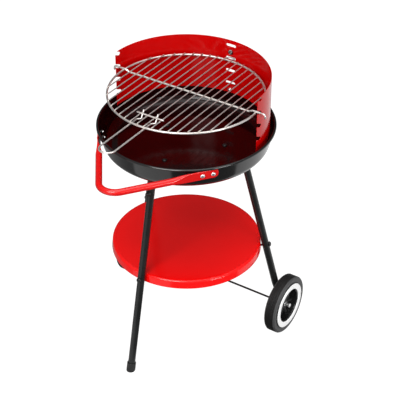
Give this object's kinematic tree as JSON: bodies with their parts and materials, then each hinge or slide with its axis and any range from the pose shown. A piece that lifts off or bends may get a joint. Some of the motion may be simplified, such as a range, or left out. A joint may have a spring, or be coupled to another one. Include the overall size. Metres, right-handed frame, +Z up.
{
  "type": "round charcoal grill",
  "caption": "Round pan charcoal grill on three tube legs with windshield, adjustable wire grate, lifting fork, V handle, lower shelf and a pair of wheels.",
  "frame": {"origin": "on the floor, at the middle of the footprint (the whole part's bounding box, bottom centre)", "axes": "+Z up, -Y towards the handle at the front, +X to the right when facing the back"},
  "size_m": [0.506, 0.545, 0.7287],
  "materials": {
    "black_enamel": "high-gloss vitreous enamel",
    "red_paint": "glossy powder coat",
    "black_paint": "semi-gloss powder coat",
    "chrome_wire": "bright chrome plate",
    "zinc_hardware": "bright zinc plate",
    "black_hardware": "blackened steel",
    "black_cap": "satin moulded cap",
    "tyre": "matt moulded tread",
    "hub_plastic": "satin moulded plastic",
    "white_plastic": "satin white"
  },
  "bodies": {
    "stand": {"axle": "black_hardware", "axle_nut_left": "zinc_hardware", "axle_nut_right": "zinc_hardware", "bowl": "black_enamel", "bowl_handle": "red_paint", "foot_cap": "black_cap", "handle_bolt_left_front": "zinc_hardware", "handle_bolt_left_rear": "zinc_hardware", "handle_bolt_right_front": "zinc_hardware", "handle_bolt_right_rear": "zinc_hardware", "handle_nut_left_front": "black_hardware", "handle_nut_left_rear": "black_hardware", "handle_nut_right_front": "black_hardware", "handle_nut_right_rear": "black_hardware", "inner_washer_left": "zinc_hardware", "inner_washer_right": "zinc_hardware", "leg_bolt_front": "black_hardware", "leg_bolt_rear_left": "black_hardware", "leg_bolt_rear_right": "black_hardware", "leg_front": "black_paint", "leg_nut_front": "black_hardware", "leg_nut_rear_left": "black_hardware", "leg_nut_rear_right": "black_hardware", "leg_rear_left": "black_paint", "leg_rear_right": "black_paint", "leg_screw_front": "black_cap", "outer_washer_left": "zinc_hardware", "outer_washer_right": "zinc_hardware", "shelf": "red_paint", "shelf_bolt_front": "black_cap", "shelf_bolt_rear_left": "black_cap", "shelf_bolt_rear_right": "black_cap", "shelf_nut_front": "zinc_hardware", "shelf_nut_rear_left": "zinc_hardware", "shelf_nut_rear_right": "zinc_hardware", "shield_bolt_lower": "zinc_hardware", "shield_bolt_upper": "zinc_hardware", "shield_nut_lower": "zinc_hardware", "shield_nut_upper": "zinc_hardware", "windshield": "red_paint"},
    "wheel_right": {"wheel_right_hub": "hub_plastic", "wheel_right_trim_ring": "white_plastic", "wheel_right_tyre": "tyre"},
    "wheel_left": {"wheel_left_hub": "hub_plastic", "wheel_left_trim_ring": "white_plastic", "wheel_left_tyre": "tyre"},
    "grate": {"cooking_grate": "chrome_wire"},
    "lifter": {"grate_lifter": "chrome_wire"}
  },
  "joints": [
    {"name": "wheel_right_spin", "type": "hinge", "parent": "stand", "child": "wheel_right", "pos_m": [0.2345, 0.15745, 0.0775], "axis": [1, 0, 0], "continuous": true},
    {"name": "wheel_left_spin", "type": "hinge", "parent": "stand", "child": "wheel_left", "pos_m": [-0.2345, 0.15745, 0.0775], "axis": [1, 0, 0], "continuous": true},
    {"name": "grate_slide", "type": "slide", "parent": "stand", "child": "grate", "axis": [0, -0.9063, 0.4226], "range_m": [0, 0.3]},
    {"name": "lifter_tilt", "type": "hinge", "parent": "grate", "child": "lifter", "pos_m": [-0.0108, -0.12715, 0.6795], "axis": [1, 0, 0], "range_deg": [0, 7]}
  ]
}
